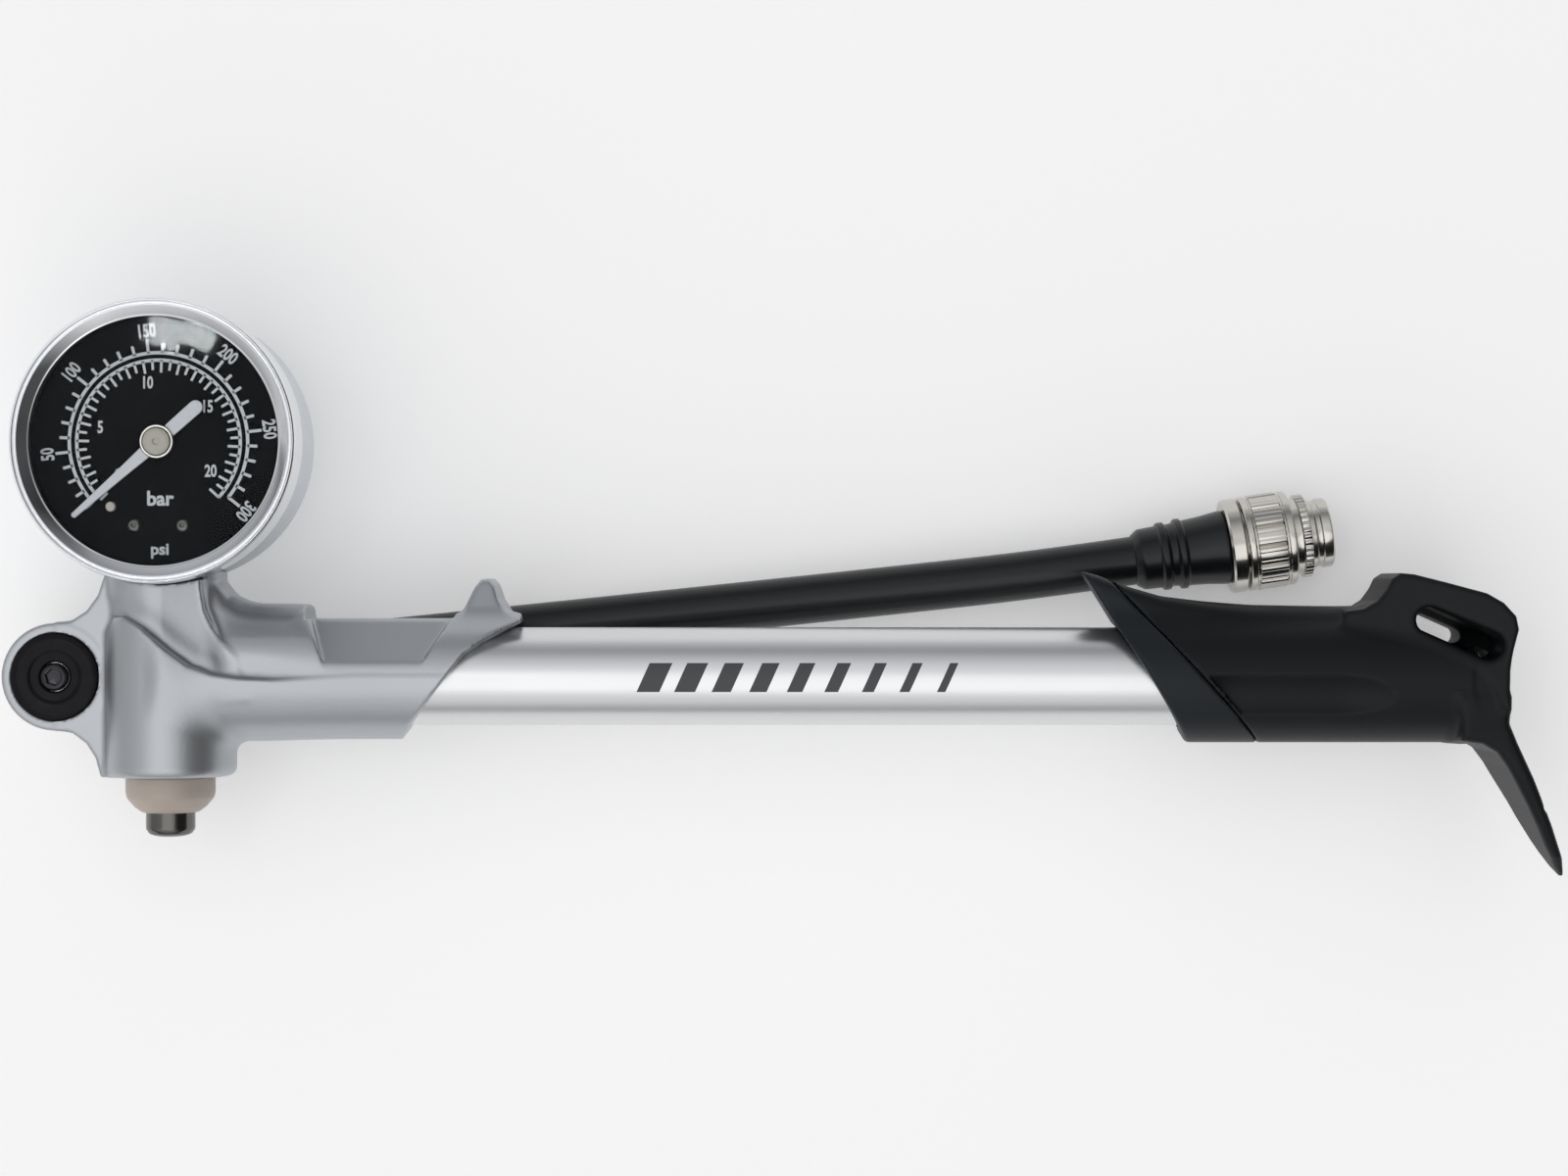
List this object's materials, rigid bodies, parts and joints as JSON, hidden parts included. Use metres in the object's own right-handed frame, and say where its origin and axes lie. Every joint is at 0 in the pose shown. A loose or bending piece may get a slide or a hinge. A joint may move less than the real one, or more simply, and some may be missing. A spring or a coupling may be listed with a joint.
{
  "type": "shock pump",
  "caption": "Hand air pump for suspension: gauge head, bright barrel with sliding turning grip, swinging rubber hose with threaded coupler, press-to-bleed valve.",
  "frame": {"origin": "on the barrel's axis, halfway along its bare length", "axes": "+X along the barrel towards the grip, +Y from the bleed valve to the gauge, +Z out of the gauge's face"},
  "size_m": [0.2353, 0.0866, 0.0351],
  "materials": {
    "cast_silver": "satin silver paint over a fine casting grain",
    "bright_tube": "polished tube with a fine lengthwise draw",
    "nickel": "nickel plate",
    "chrome_ring": "polished chrome",
    "steel": "turned steel",
    "black_grip": "fine moulded texture",
    "black_hose": "smooth extruded rubber",
    "black_disc": "glossy moulding",
    "seal": "soft black rubber",
    "beige_bush": "machined nylon",
    "white_nylon": "machined nylon",
    "dial_face": "printed dial",
    "needle_white": "white enamel",
    "cap_beige": "moulded cap",
    "brass": "turned brass",
    "clear_glass": "flat glass",
    "dark_pin": "dark turned steel"
  },
  "bodies": {
    "head": {"head_body": "cast_silver", "barrel_tube": "bright_tube", "rod_guide": "steel", "guide_seal": "seal", "valve_seat": "brass", "valve_spring": "steel", "gauge_case": "cast_silver", "gauge_bezel": "chrome_ring", "gauge_lens": "clear_glass", "gauge_dial": "dial_face", "movement_plate": "brass", "movement_pillar": "brass", "bourdon_tube": "brass", "gauge_stem": "brass", "dial_screws": "steel", "bleed_bush": "beige_bush", "bleed_spring": "steel", "front_washer": "seal", "back_washer": "seal", "banjo_bolt": "nickel", "eye_disc": "black_disc", "pivot_screw": "steel"},
    "gauge_hand": {"gauge_needle": "needle_white", "needle_spindle": "steel", "needle_cap": "cap_beige"},
    "bleed_button": {"bleed_pin": "dark_pin"},
    "check_ball": {"valve_ball": "steel"},
    "hose_line": {"hose": "black_hose", "banjo_fitting": "nickel", "hose_boot": "black_hose", "coupler_body": "nickel", "coupler_gasket": "seal", "valve_pin": "brass"},
    "coupler_ring": {"coupler_nut": "nickel"},
    "plunger": {"piston_rod": "chrome_ring", "piston_head": "brass", "piston_ring": "seal", "stroke_bumper": "seal", "grip_screw": "steel"},
    "grip": {"grip_body": "black_grip", "grip_collar": "black_grip", "grip_bush": "white_nylon", "palm_rest": "black_grip"}
  },
  "joints": [
    {"name": "plunger_slide", "type": "slide", "parent": "head", "child": "plunger", "axis": [1, 0, 0], "range_m": [0, 0.148]},
    {"name": "grip_turn", "type": "hinge", "parent": "plunger", "child": "grip", "pos_m": [0.1, 0, 0], "axis": [1, 0, 0], "continuous": true},
    {"name": "hose_swivel", "type": "hinge", "parent": "head", "child": "hose_line", "pos_m": [-0.1095, 0, -0.0136], "axis": [0, 0, 1], "range_deg": [0, 330]},
    {"name": "coupler_turn", "type": "hinge", "parent": "hose_line", "child": "coupler_ring", "pos_m": [0.08487, 0.02212, -0.0136], "axis": [0.9892, 0.1464, 0], "continuous": true},
    {"name": "bleed_press", "type": "slide", "parent": "head", "child": "bleed_button", "axis": [0, 1, 0], "range_m": [0, 0.0015], "stiffness_N_per_m": 150, "springref_m": -0.002, "deforming": ["bleed_spring"]},
    {"name": "check_ball_lift", "type": "slide", "parent": "head", "child": "check_ball", "axis": [-1, 0, 0], "range_m": [0, 0.0008], "stiffness_N_per_m": 8, "springref_m": -0.002, "deforming": ["valve_spring"]},
    {"name": "needle_sweep", "type": "hinge", "parent": "head", "child": "gauge_hand", "pos_m": [-0.0929, 0.03505, 0.01], "axis": [0, 0, -1], "range_deg": [-9, 255], "stiffness_Nm_per_rad": 0.00002}
  ]
}
